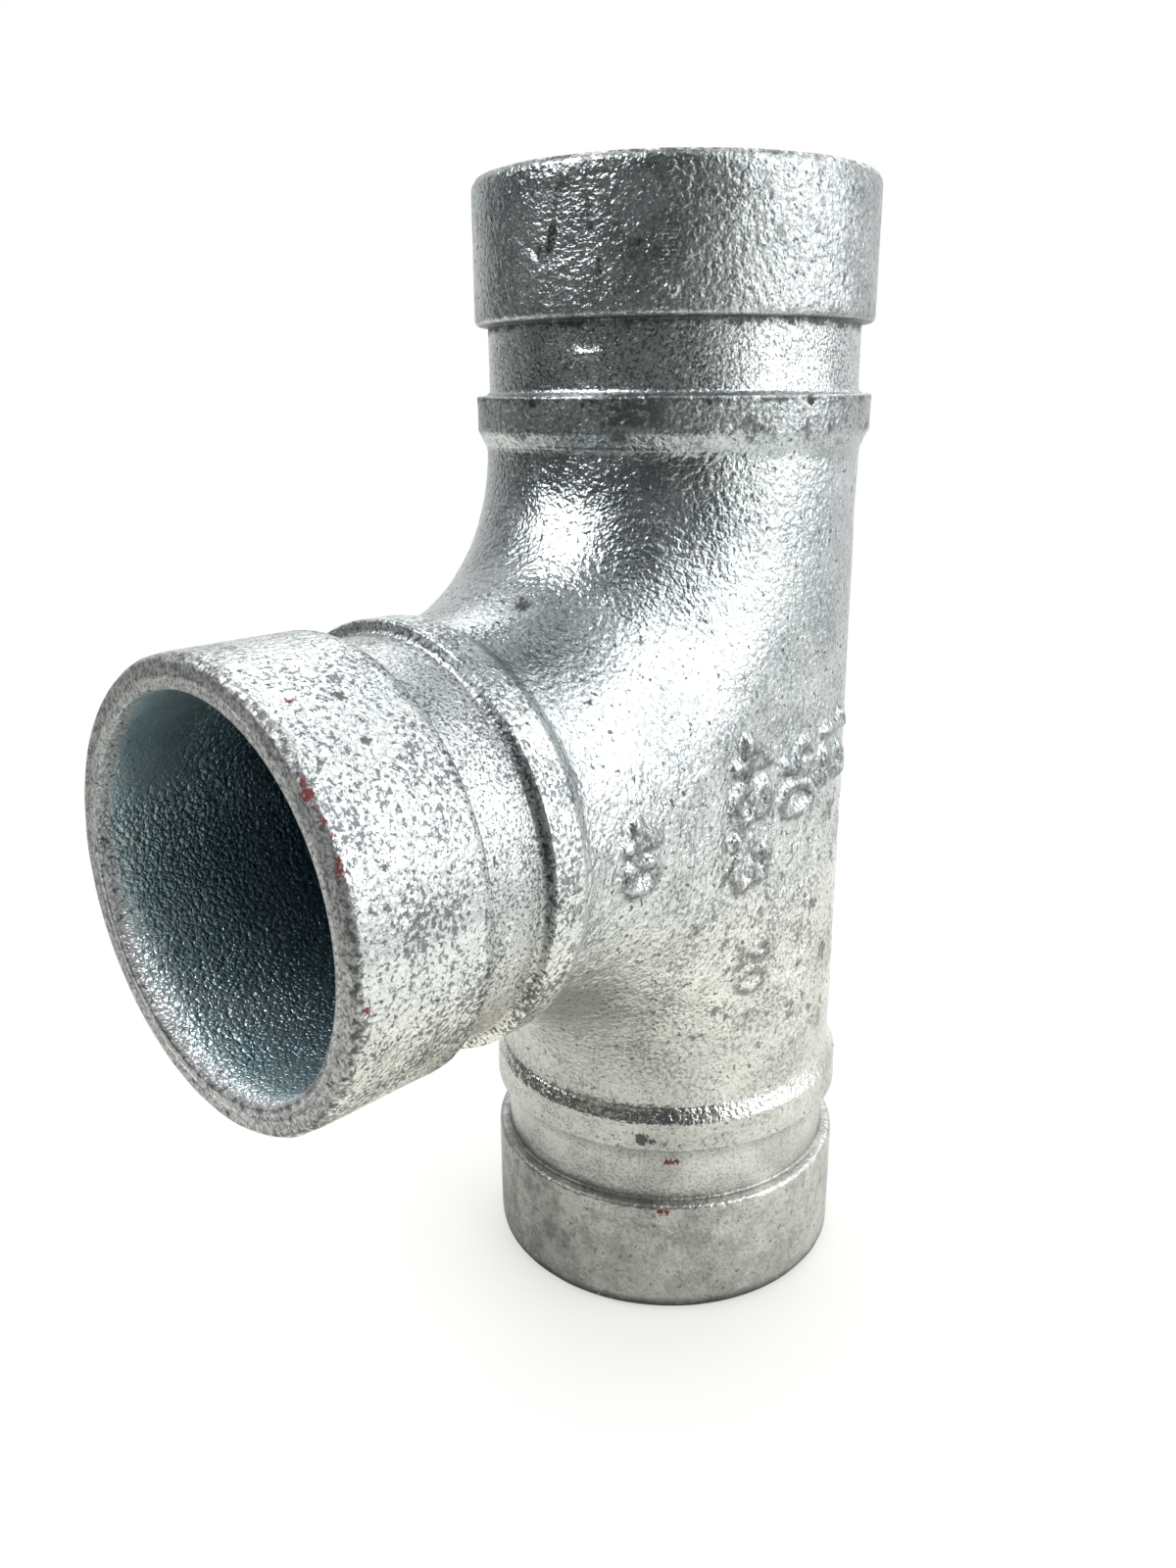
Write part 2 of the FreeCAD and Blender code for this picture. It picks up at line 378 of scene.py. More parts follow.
STROKES = {
    "0": [[(0.3, 0.0), (0.08, 0.12), (0.0, 0.35), (0.0, 0.65), (0.08, 0.88), (0.3, 1.0),
           (0.52, 0.88), (0.6, 0.65), (0.6, 0.35), (0.52, 0.12), (0.3, 0.0)]],
    "1": [[(0.1, 0.8), (0.35, 1.0), (0.35, 0.0)]],
    "2": [[(0.02, 0.8), (0.15, 0.97), (0.4, 1.0), (0.58, 0.82), (0.5, 0.55), (0.0, 0.0), (0.6, 0.0)]],
    "3": [[(0.02, 0.9), (0.25, 1.0), (0.52, 0.9), (0.55, 0.68), (0.28, 0.54), (0.58, 0.4), (0.58, 0.12),
           (0.3, 0.0), (0.0, 0.1)]],
    "4": [[(0.45, 0.0), (0.45, 1.0), (0.0, 0.3), (0.62, 0.3)]],
    "8": [[(0.3, 0.54), (0.05, 0.68), (0.05, 0.88), (0.3, 1.0), (0.55, 0.88), (0.55, 0.68), (0.3, 0.54),
           (0.0, 0.36), (0.0, 0.14), (0.3, 0.0), (0.6, 0.14), (0.6, 0.36), (0.3, 0.54)]],
    "9": [[(0.55, 0.55), (0.3, 0.42), (0.05, 0.55), (0.05, 0.85), (0.3, 1.0), (0.55, 0.85), (0.55, 0.4),
           (0.35, 0.0)]],
    ".": [[(0.1, 0.03), (0.14, 0.03)]],
}
ADVANCE = {".": 0.42}

# Number, place of its first corner as (y, z), height, stroke, rise.
NUMBERS = (
    ("40", (-34.6, 3.4), 5.0, 1.15, 0.65),
    ("48.3", (-16.0, 8.6), 6.4, 1.3, 0.7),
    ("90", (-6.4, 6.2), 5.8, 1.25, 0.6),
    ("12", (2.0, 8.6), 5.6, 1.25, 0.6),
    ("20", (-12.6, -17.0), 4.4, 0.95, 0.25),
)


def stroke_gap(text, spots):
    """How far each spot lies from the nearest stroke of the text."""
    gap = np.full(len(spots), 9.0)
    start = 0.0
    for glyph in text:
        for line in STROKES[glyph]:
            for a, b in zip(line, line[1:]):
                a = np.array(a) + (start, 0)
                b = np.array(b) + (start, 0)
                t = np.clip(((spots - a) @ (b - a)) / ((b - a) @ (b - a)), 0, 1)
                gap = np.minimum(gap, np.linalg.norm(spots - a - t[:, None] * (b - a), axis=1))
        start += ADVANCE.get(glyph, 0.85)
    return gap


def number_relief(points):
    """Height of the raised numbers on the run's +X side, which read downwards, and the darker side of each,
    partly dull grey and partly painted shade.
    """
    x, y, z = points.T
    around = np.where(y > 0, BODY_R * np.arcsin(np.clip(y / BODY_R, -1, 1)), y)
    relief = np.zeros(len(points))
    band = np.zeros(len(points))
    for text, (y0, z0), height, stroke, rise in NUMBERS:
        near = (x > 10) & (np.abs(around - y0 - height / 2) < height) & (np.abs(z) < 40)
        spots = np.stack([(z0 - z[near]) / height, (around[near] - y0) / height], axis=1)
        gap = stroke_gap(text, spots)
        profile = 1 - ramp(gap * height, 0.22 * stroke, 0.95 * stroke)
        wear = 0.92 + 0.3 * smooth_noise(points[near], 2.4, 71)
        relief[near] = np.maximum(relief[near], 1.2 * rise * profile * np.clip(wear, 0.25, 1.15))
        # A band beside each stroke, shifted to one side: partly dull grey, partly painted shade on the
        # strokes' shaded flank.
        below = stroke_gap(text, spots + (-0.5 / height, 0.35 / height)) * height
        flank = 1 - ramp(below, 0.3 * stroke, 0.8 * stroke)
        band[near] = np.maximum(band[near], flank)
    return relief, band


# Marks on the upper seat. A place is (way round the seat from the middle of the front, height), in
# millimetres. The chipped patch is two corners. A scratch is start, end, width, depth and darkness.

SCAR = ((0.2, 58.4), (9.6, 67.4))
SCRATCHES = (
    ((4.35, 66.9), (3.9, 66.3), 0.65, 0.1, 0.9),
    ((3.9, 66.3), (3.3, 64.4), 0.4, 0.12, 0.7),
    ((3.3, 64.4), (3.05, 62.6), 0.35, 0.14, 0.6),
    ((3.05, 62.6), (2.5, 60.7), 0.75, 0.2, 1.0),
    ((2.35, 60.3), (1.9, 59.4), 0.4, 0.14, 0.5),
    ((1.2, 60.9), (1.0, 60.1), 0.45, 0.12, 1.0),
    ((-1.6, 63.8), (-0.6, 61.6), 0.4, 0.12, 0.0),
    ((-0.6, 61.6), (1.0, 60.1), 0.4, 0.12, 0.2),
    ((7.25, 67.9), (7.3, 65.4), 0.28, 0.1, 0.45),
    ((7.3, 65.4), (7.6, 62.3), 0.3, 0.1, 0.9),
    ((8.7, 59.4), (8.75, 58.2), 0.45, 0.1, 0.9),
    ((8.7, 57.4), (8.75, 56.5), 0.35, 0.1, 0.7),
    ((12.95, 61.2), (12.95, 60.6), 0.5, 0.1, 0.9),
)

# Rungs: way round, lowest, highest and pitch. Ring: way round, height and radius. Bright bump in the
# groove: where it starts and ends on the way round, height and half its width.
LADDER = (16.0, 58.2, 62.8, 0.78)
RING = (16.4, 56.6, 0.5)
GLINT = (3.6, 8.2, 50.3, 0.6)


def seat_marks(points):
    """Height of the marks on the upper seat, how dark they look, and the chipped patch."""
    x, y, z = points.T
    near = (y < -14) & (z > 54) & (np.hypot(x, y) > 23) & (np.abs(x) < 20)
    turn = SEAT_R * np.arcsin(np.clip(x / SEAT_R, -1, 1))
    spots = np.stack([turn[near], z[near]], axis=1)
    (left, bottom), (right, top) = SCAR
    inside = ramp(spots[:, 0], left, left + 2.0) * (1 - ramp(spots[:, 0], right - 2.5, right))
    inside = inside * ramp(spots[:, 1], bottom, bottom + 2.0) * (1 - ramp(spots[:, 1], top - 1.0, top))
    depth = -0.06 * inside
    dark = np.zeros(near.sum())
    for start, end, width, deep, soot in SCRATCHES:
        a, b = np.array(start), np.array(end)
        t = np.clip(((spots - a) @ (b - a)) / ((b - a) @ (b - a)), 0, 1)
        gap = np.linalg.norm(spots - a - t[:, None] * (b - a), axis=1)
        line = 1 - ramp(gap, 0.4 * width, width)
        depth = np.minimum(depth, -deep * line)
        dark = np.maximum(dark, soot * line)
    middle, lowest, highest, pitch = LADDER
    rungs = np.sin((spots[:, 1] - lowest) * 2 * math.pi / pitch)
    rungs = rungs * (1 - ramp(np.abs(spots[:, 0] - middle), 0.7, 1.3))
    rungs = rungs * (spots[:, 1] > lowest) * (spots[:, 1] < highest)
    depth = depth + 0.07 * rungs
    dark = np.maximum(dark, 0.75 * np.clip(-rungs, 0, 1))
    ring = np.abs(np.hypot(spots[:, 0] - RING[0], spots[:, 1] - RING[1]) - RING[2])
    depth = depth + 0.13 * (1 - ramp(ring, 0.1, 0.32))
    first, last, level, half = GLINT
    around = GROOVE_R * np.arcsin(np.clip(x / GROOVE_R, -1, 1))
    streak = ramp(around, first, first + 1.0) * (1 - ramp(around, last - 1.0, last)) * (y < -10)
    depths = 0.3 * streak * (1 - ramp(np.abs(z - level), 0.0, half)) * (np.hypot(x, y) > 22)
    darks = np.zeros(len(points))
    chips = np.zeros(len(points))
    depths[near] = depth
    darks[near] = dark
    chips[near] = inside
    return depths, darks, chips


# Boxes that get finer faces: low corner, high corner and the area below which a face stays whole.
# In order: the numbers, the marked part of the seat, its chipped patch, the glint, and rungs and ring.
FINE_BOXES = (
    ((14.0, -37.0, -25.5), (24.0, 9.5, 10.5), 0.12),
    ((-1.0, -25.0, 55.0), (17.2, -17.0, 68.4), 0.12),
    ((-0.5, -25.0, 57.4), (9.6, -21.5, 67.8), 0.05),
    ((3.0, -25.0, 49.0), (11.5, -19.0, 52.0), 0.12),
    ((13.0, -21.0, 55.2), (16.8, -17.0, 63.2), 0.05),
)


def refine(mesh, low, high, smallest):
    """Halve the faces whose centres lie in a box and that are larger than smallest, for finer relief."""
    bm = bmesh.new()
    bm.from_mesh(mesh)
    low, high = Vector(low), Vector(high)
    edges = set()
    for face in bm.faces:
        c = face.calc_center_median()
        if all(low[i] < c[i] < high[i] for i in range(3)) and face.calc_area() > smallest:
            edges.update(face.edges)
    bmesh.ops.subdivide_edges(bm, edges=list(edges), cuts=1, use_grid_fill=True)
    bm.to_mesh(mesh)
    bm.free()


def snap_to_body(points):
    """Put the middle's outer points back on the true round of the body after refining."""
    x, y, z = points.T
    along, _, bored = arm_place(points)
    away = sweep_distance(y, z)
    loose = (bored == 0) & (along < SLOPE_FOOT - 0.6) & (away < 0.93 * BODY_R)
    snapped = np.sign(x) * np.sqrt(np.maximum(BODY_R ** 2 - away ** 2, 0.0))
    points[loose, 0] = snapped[loose]
    return points


def coarse_part(points):
    """1 on the roughly cast part of the body below the numbers."""
    x, _, z = points.T
    return ramp(x, 11, 19) * ramp(-z, -14, 0) * (1 - ramp(-z, 30, 38))


def cast_relief(points, marks):
    """How far each point of the skin stands off the true shape, in millimetres."""
    along, _, bored = arm_place(points)
    outside = 1 - bored
    past_collar = ramp(along, GROOVE_BACK - 0.6, GROOVE_BACK)
    seat = ramp(along, GROOVE_FRONT - 0.1, GROOVE_FRONT + 0.6) * outside
    collar = ramp(along, SLOPE_FOOT, COLLAR_BACK) * (1 - past_collar) * outside
    groove = past_collar * (1 - seat) * outside
    face = ramp(along, REACH - 0.35, REACH - 0.05)
    broad = smooth_noise(points, 24.0, 3)
    lumps = smooth_noise(points, 6.5, 5)
    peel = smooth_noise(points, 2.9, 7)
    pebbly = coarse_part(points) * smooth_noise(points, 1.9, 23)
    cast = 0.10 * broad + 0.055 * lumps + 0.05 * peel + 0.15 * pebbly
    machined = 0.03 * broad + 0.02 * lumps + 0.018 * peel
    tops = np.maximum(seat, collar)
    height = cast * (1 - groove) + machined * groove
    height = height * (1 - 0.45 * tops) - 0.11 * tops
    rim = seat * ramp(along, REACH - 1.6, REACH - 0.6)
    height = height + 0.09 * rim * (smooth_noise(points, 2.2, 17) - 0.6)
    height = height * (1 - face) + face * (0.02 * peel + 0.02 * lumps - 0.045)
    inner = 0.16 * smooth_noise(points, 19.0, 11) + 0.07 * lumps + 0.08 * peel
    height = np.where(bored > 0.5, inner * (1 - face), height)
    return height + marks


def casting_parts(points):
    """Where each point lies, and how much it belongs to each main part of the casting."""
    x, y, z = points.T
    along, radius, bored = arm_place(points)
    outside = 1 - bored
    seat = ramp(along, GROOVE_FRONT - 0.1, GROOVE_FRONT + 0.2) * outside
    groove = ramp(along, GROOVE_BACK + 0.1, GROOVE_BACK + 0.4) * (1 - seat) * outside
    return SimpleNamespace(
        x=x, y=y, z=z, along=along, radius=radius, bored=bored, outside=outside, seat=seat, groove=groove,
        branch=ramp(-y, SLOPE_FOOT, COLLAR_BACK) * (np.abs(z) < 30) * outside,
        upper=ramp(z, SLOPE_FOOT, COLLAR_BACK) * outside * (1 - groove),
        coarse=coarse_part(points) * (along < SWEEP) * outside)


def end_zones(p):
    """Zones of the end faces, their edges and the bores."""
    left = ramp(-p.x, 4, 17) * ramp(p.z, -12, 0) * (p.y < -SWEEP)
    lip = ramp(p.along, REACH - 1.0 - 1.1 * left, REACH - 0.4 - 0.8 * left)
    bevel = bell(p.radius, SEAT_R - 0.45, 0.5) * ramp(p.along, REACH - 1.1, REACH - 0.5) * p.outside
    bevel = bevel * (0.4 + 0.6 * ramp(p.x, -12, 4))
    # The foot's bottom rim: painted contact shadow where the tee stands on the floor.
    bevel = np.maximum(bevel, ramp(-p.z, REACH - 1.7, REACH - 0.7) * p.outside)
    inner = bell(p.radius, MOUTH_R + 0.3, 0.3) * ramp(p.along, REACH - 0.9, REACH - 0.3)
    depth = np.maximum(REACH - p.along, 0)
    # The flare's bump and its painted highlight are strongest low on the branch's mouth.
    wide = 0.1 + 0.9 * ramp(-p.z, -3, 9) * (p.y < -SWEEP)
    sleek = ramp(p.z, 0, 9) * ramp(-p.x, -2, 7) * ramp(p.along, 57, 63)
    return {
        "bored": p.bored,
        "face": ramp(p.along, REACH - 0.5, REACH - 0.1) * (p.radius > MOUTH_R + 0.2),
        "lip": lip * (1 - ramp(p.radius, MOUTH_R + 0.4, MOUTH_R + 0.9)),
        "bevel": np.maximum(bevel, inner * ramp(-p.z, 4, 14)),
        "flare": (1 - np.minimum(depth / FLARE, 1)) ** 2 * p.bored * wide,
        "beads": p.bored * (1 - 0.85 * sleek),
        "deep": (1 - np.exp(-depth / DARK_DEPTH)) * p.bored,
    }


def finish_zones(p):
    """Zones that change the zinc's colour, flecks and gloss."""
    lower = ramp(-p.z, -42.0, 15.0) * p.outside
    tops = ramp(p.along, SLOPE_FOOT, COLLAR_BACK) * p.outside
    bend = ramp(p.z, 4, 14) * (1 - ramp(p.z, 34, 39)) * ramp(-p.y, 6, 15)
    slope = ramp(p.along, SLOPE_FOOT, SLOPE_FOOT + 0.5)
    slope = slope * (1 - ramp(p.along, COLLAR_BACK + 0.4, COLLAR_BACK + 1.0))
    return {
        "groove": p.groove,
        "matt": np.clip(p.branch + 0.62 * lower + 0.3 * tops, 0, 1),
        "low": ramp(-p.z, 16.0, 52.0) * p.outside,
        "coarse": p.coarse,
        "bend": bend * (p.along < SWEEP) * p.outside,
        "foot": ramp(-p.z, 49.0, 56.0) * p.outside,
        # The foot's west side, which gets extra painted shade.
        "west_shade": ramp(-p.x, -12.0, 2.0) * ramp(-p.z, 45.0, 58.0) * p.outside,
        "under": p.branch * ramp(-p.z, 2, 14),
        "slope": slope * (p.z < -30) * p.outside,
    }


def dirt_and_shade_zones(p):
    """Zones of stains, smudges, grime and painted shade."""
    behind = p.along < GROOVE_BACK
    soiled = 0.5 * p.upper + 0.15 * p.outside * (1 - p.upper) + 0.35 * p.branch * behind
    soiled = soiled + 0.25 * p.upper * behind
    soiled = soiled + 0.5 * p.coarse * ramp(p.y, -28, -16) * ramp(-p.z, -4, 6)
    soiled = soiled + 0.5 * p.upper * bell(p.along, GROOVE_BACK - 0.9, 0.6)
    stain = ramp(p.x, 4.5, 10.0) * (1 - ramp(p.x, 13.5, 18.0)) * (p.y < 0)
    stain = stain * p.upper * ramp(p.along, COLLAR_BACK, COLLAR_BACK + 0.8) * (p.along < GROOVE_FRONT)
    stain = stain + 0.3 * ramp(p.x, 13, 19) * p.seat * (p.z > 0) + 0.3 * p.groove * (p.y < -SWEEP)
    # Painted shade: dark bands in the groove roots, just under the seats' edges (front on the run, brow on
    # the branch), by the branch groove's back wall, and on the lower groove beyond its collar (shade). The
    # seam line at the branch slope's foot and the belt over the run's upper collar are darker bands as well.
    root = bell(p.along, GROOVE_BACK, 0.3) * (p.radius < GROOVE_R + 0.5)
    front = bell(p.along, GROOVE_FRONT - 0.15, 0.4) * (p.radius < SEAT_R - 0.9)
    root = root + front * (0.8 + 0.8 * (p.z > SWEEP))
    arc = ramp(p.z, -10, 0) * (1 - ramp(p.z, 12, 20))
    wall = bell(p.along, GROOVE_BACK - 0.1, 0.35) * (1 - ramp(p.radius, GROOVE_R + 0.7, GROOVE_R + 1.2))
    brow = bell(p.along, GROOVE_FRONT + 0.62, 0.25)
    seam = bell(p.along, SLOPE_FOOT, 0.4) * (p.y < -SLOPE_FOOT + 2)
    shade = bell(p.along, GROOVE_BACK + 1.1, 0.7) * (p.z < -SWEEP)
    belt = ramp(p.along, COLLAR_BACK - 0.5, COLLAR_BACK + 0.3)
    belt = belt * (1 - ramp(p.along, GROOVE_BACK - 0.4, GROOVE_BACK)) * (p.z > 0) * (p.y > -SWEEP)
    shade_and_grime = 0.6 * root + 0.22 * seam + 0.42 * belt + 0.5 * shade
    shade_and_grime = (shade_and_grime + (0.75 * arc * wall + 0.9 * brow) * (p.y < -SWEEP)) * p.outside
    return {
        "stain": stain,
        "soiled": np.clip(soiled, 0, 1),
        "belt": belt * p.outside,
        "shade_and_grime": np.clip(shade_and_grime, 0, 1) * (p.along > SLOPE_FOOT - 2),
    }


def shape_skin(mesh):
    """Cast relief along the vertex normals, and the zones that the finish follows."""
    for low, high, smallest in FINE_BOXES:
        refine(mesh, low, high, smallest)
    count = len(mesh.vertices)
    points = np.empty(count * 3)
    mesh.vertices.foreach_get("co", points)
    points = snap_to_body(points.reshape(-1, 3))
    mesh.vertices.foreach_set("co", points.ravel())
    mesh.update()
    normals = np.empty(count * 3)
    mesh.vertices.foreach_get("normal", normals)
    scars, marks, chips = seat_marks(points)
    numbers, dull_and_shaded_strokes = number_relief(points)
    moved = points + normals.reshape(-1, 3) * cast_relief(points, scars + numbers)[:, None]
    mesh.vertices.foreach_set("co", moved.ravel())
    mesh.update()
    parts = casting_parts(points)
    zones = {"mark": marks, "chips": chips, "dull_and_shaded_stroke": dull_and_shaded_strokes}
    zones.update(end_zones(parts))
    zones.update(finish_zones(parts))
    zones.update(dirt_and_shade_zones(parts))
    for name, values in zones.items():
        layer = mesh.attributes.new(name, "FLOAT", "POINT")
        layer.data.foreach_set("value", values.astype(np.float32))


# Shader building

class Graph:
    """Adds nodes to one node tree. An input is a number, a tuple or another node's output."""

    def __init__(self, tree):
        self.tree = tree
        self.zones = {}

    def add(self, kind, inputs=(), output=0, **settings):
        node = self.tree.nodes.new("ShaderNode" + kind)
        for name, value in settings.items():
            setattr(node, name, value)
        for key, value in dict(inputs).items():
            self.feed(node.inputs[key], value)
        return node.outputs[output]

    def feed(self, socket, value):
        if isinstance(value, bpy.types.NodeSocket):
            self.tree.links.new(value, socket)
        else:
            socket.default_value = value

    def math(self, operation, a, b):
        return self.add("Math", {0: a, 1: b}, operation=operation)

    def plus(self, a, b):
        return self.math("ADD", a, b)

    def minus(self, a, b):
        return self.math("SUBTRACT", a, b)

    def times(self, a, b):
        return self.math("MULTIPLY", a, b)

    def most(self, a, b):
        return self.math("MAXIMUM", a, b)

    def noise(self, place, size, detail=2.0, roughness=0.5, shift=0.0):
        """Noise from 0 to 1 with features about size across, in millimetres."""
        moved = self.add("VectorMath", {0: place, 1: (shift, shift * 0.7, -shift)}, operation="ADD")
        return self.add("TexNoise", {
            "Vector": moved, "Scale": 1.0 / size, "Detail": detail, "Roughness": roughness})

    def step(self, value, low, high):
        """A smooth step from 0 at low to 1 at high. Low may be the larger."""
        return self.add("MapRange", {0: value, 1: low, 2: high}, interpolation_type="SMOOTHSTEP")

    def blend(self, factor, a, b):
        """A plain number blend."""
        return self.add("Mix", {0: factor, 2: a, 3: b}, data_type="FLOAT")

    def colour(self, factor, a, b):
        """A colour blend."""
        return self.add("Mix", {0: factor, 6: a, 7: b}, output=2, data_type="RGBA")

    def zone(self, name):
        """A zone that the mesh stores. Its node is made once."""
        if name not in self.zones:
            self.zones[name] = self.add("Attribute", output=2, attribute_name=name)
        return self.zones[name]


# Rust specks as (place, size) in millimetres.
RUST = (
    ((17.5, -69.8, 16.7), 0.3),
    ((18.1, -69.8, 15.9), 0.6),
    ((18.7, -69.8, 14.9), 0.7),
    ((19.4, -69.7, 14.1), 0.3),
    ((20.3, -69.5, 12.9), 0.4),
    ((21.1, -69.3, 11.7), 0.35),
    ((22.1, -69.6, 9.9), 0.6),
    ((22.5, -69.6, 9.0), 0.65),
    ((22.8, -69.7, 8.1), 0.4),
    ((-8.0, -69.8, 18.9), 0.3),
    ((11.5, -69.5, 21.2), 0.3),
    ((11.8, -66.2, 21.1), 0.35),
    ((23.7, -68.9, -3.5), 0.3),
    ((14.6, -17.1, -48.3), 0.3),
    ((15.0, -16.7, -48.4), 0.35),
    ((15.5, -16.2, -48.3), 0.35),
    ((15.0, -18.9, -54.7), 0.35),
    ((15.6, -18.4, -54.7), 0.4),
)

# Dark spots, likewise.
SPOTS = (
    ((5.5, -31.8, 24.4), 0.85),
    ((4.6, -31.2, 24.9), 0.4),
    ((22.7, -65.3, 8.2), 0.35),
    ((16.6, -61.8, 17.5), 0.5),
    ((12.2, -61.3, 20.8), 0.6),
    ((13.0, -20.3, -44.2), 0.8),
    ((14.2, -19.6, -44.4), 0.5),
    ((24.1, -45.5, -1.2), 0.5),
    ((22.0, -52.0, 4.7), 0.3),
)


def specks(g, mm, ragged, spots):
    """1 inside the listed spots, with ragged edges, and 0 elsewhere."""
    inside = 0.0
    for spot, size in spots:
        gap = g.add("VectorMath", {0: mm, 1: spot}, output=1, operation="DISTANCE")
        inside = g.most(inside, g.step(g.plus(gap, ragged), size + 1.0, size + 0.75))
    return inside


# Colours of the finish, as linear red, green, blue and alpha.
ZINC_DARK = (0.355, 0.39, 0.395, 1)
ZINC_LIGHT = (0.53, 0.57, 0.575, 1)
FLECK_GREY = (0.153, 0.168, 0.172, 1)
FLECK_BRIGHT = (0.67, 0.70, 0.70, 1)
FLECK_WHITE = (0.93, 0.94, 0.91, 1)
NO_TINT = (1.0, 1.0, 1.0, 1)
FLOOR_REFLECTION_TINT = (1.27, 1.19, 1.12, 1)
SOIL_AND_SHADE = (0.13, 0.13, 0.13, 1)
GRIT = (0.12, 0.13, 0.135, 1)
GROUND_DARK = (0.26, 0.262, 0.26, 1)
GROUND_LIGHT = (0.69, 0.695, 0.69, 1)
BORE_DARK = (0.46, 0.63, 0.67, 1)
BORE_LIGHT = (0.68, 0.81, 0.84, 1)
BORE_DEEP_SHADE = (0.018, 0.067, 0.105, 1)
LIP_HIGHLIGHT_WHITE = (0.86, 0.88, 0.89, 1)
DARK_DIRT_AND_SHADE = (0.06, 0.06, 0.062, 1)
SCRATCH = (0.012, 0.012, 0.013, 1)
RUST_RED = (0.15, 0.02, 0.018, 1)


def shared_patterns(g):
    """The noises that colour, gloss and bump share, and the zinc's bright flecks."""
    mm = g.add("VectorMath", {0: g.add("TexCoord", output=3), "Scale": 1000.0}, operation="SCALE")
    region = g.noise(mm, 6.0, 2.0, 0.5, 77.0)
    grain = g.noise(mm, 0.34, 3.0, 0.65, 47.0)

    # Bright zinc broken by grey, finer in the machined grooves.
    drift = g.plus(g.times(g.minus(region, 0.5), 0.35), g.blend(g.zone("under"), -0.01, -0.045))
    fleck = g.step(g.plus(g.noise(mm, 0.52, 3.0, 0.72, 31.0), drift), 0.41, 0.465)
    vein = g.step(g.plus(grain, g.times(region, 0.22)), 0.53, 0.61)
    return SimpleNamespace(
        mm=mm, level=g.add("SeparateXYZ", {0: mm}, output=2), region=region, grain=grain,
        cloud=g.noise(mm, 7.0, 3.0, 0.55),
        patch=g.noise(mm, 2.4, 3.0, 0.6, 29.0),
        pit_seed=g.noise(mm, 0.8, 2.5, 0.55, 57.0),
        ragged=g.times(grain, 1.7),
        fleck=fleck, bright=g.blend(g.zone("groove"), fleck, vein))


def outside_colour(g, p):
    """Zinc and its flecks, brightened and warmed low down as a painted floor reflection, with soil and
    painted shade at the foot and grit all over.
    """
    low = g.zone("low")
    matt = g.zone("matt")
    west_shade = g.zone("west_shade")
    zinc = g.colour(g.step(p.cloud, 0.35, 0.68), ZINC_DARK, ZINC_LIGHT)
    speckled = g.colour(p.bright, FLECK_GREY, g.colour(g.zone("under"), FLECK_BRIGHT, FLECK_WHITE))
    amount = g.most(g.blend(matt, 0.25, 0.85), g.times(g.zone("groove"), 0.75))
    amount = g.times(amount, g.blend(low, 1.0, 0.3))
    amount = g.times(amount, g.blend(g.zone("slope"), 1.0, 0.35))
    colour = g.colour(amount, zinc, speckled)
    # Painted reflection: lower down the zinc is brightened and warmed, as the pale floor would light it.
    floor_reflection = g.colour(g.step(p.level, 6.0, -28.0), NO_TINT, FLOOR_REFLECTION_TINT)
    colour = g.add("VectorMath", {0: colour, 1: floor_reflection}, operation="MULTIPLY")
    # Dark patches at the foot, fainter lower down and strongest on the foot's west side: partly soil, partly
    # painted shade.
    soil_and_shade = g.blend(g.zone("foot"), g.times(low, 0.3), 1.0)
    soil_and_shade = g.times(soil_and_shade, g.blend(g.step(p.patch, 0.34, 0.66), 0.46, 0.15))
    soil_and_shade = g.plus(g.times(soil_and_shade, g.blend(west_shade, 1.0, 1.3)), g.times(west_shade, 0.22))
    colour = g.colour(soil_and_shade, colour, SOIL_AND_SHADE)
    grit = g.times(g.blend(matt, 0.55, 0.35), g.blend(low, 1.0, 0.3))
    return g.colour(g.times(g.step(p.grain, 0.48, 0.37), grit), colour, GRIT)


def bore_colour(g, p):
    """A cooler, darker zinc with painted shade deeper in, and a pale band behind the worn lip that is a
    painted highlight.
    """
    colour = g.colour(g.step(p.cloud, 0.3, 0.7), BORE_DARK, BORE_LIGHT)
    # Painted shade: the colour darkens towards the bore's depths.
    colour = g.colour(g.times(g.zone("deep"), 0.95), colour, BORE_DEEP_SHADE)
    # Painted highlight: behind the worn lip the colour pales towards white.
    return g.colour(g.times(g.zone("flare"), 1.3), colour, LIP_HIGHLIGHT_WHITE)


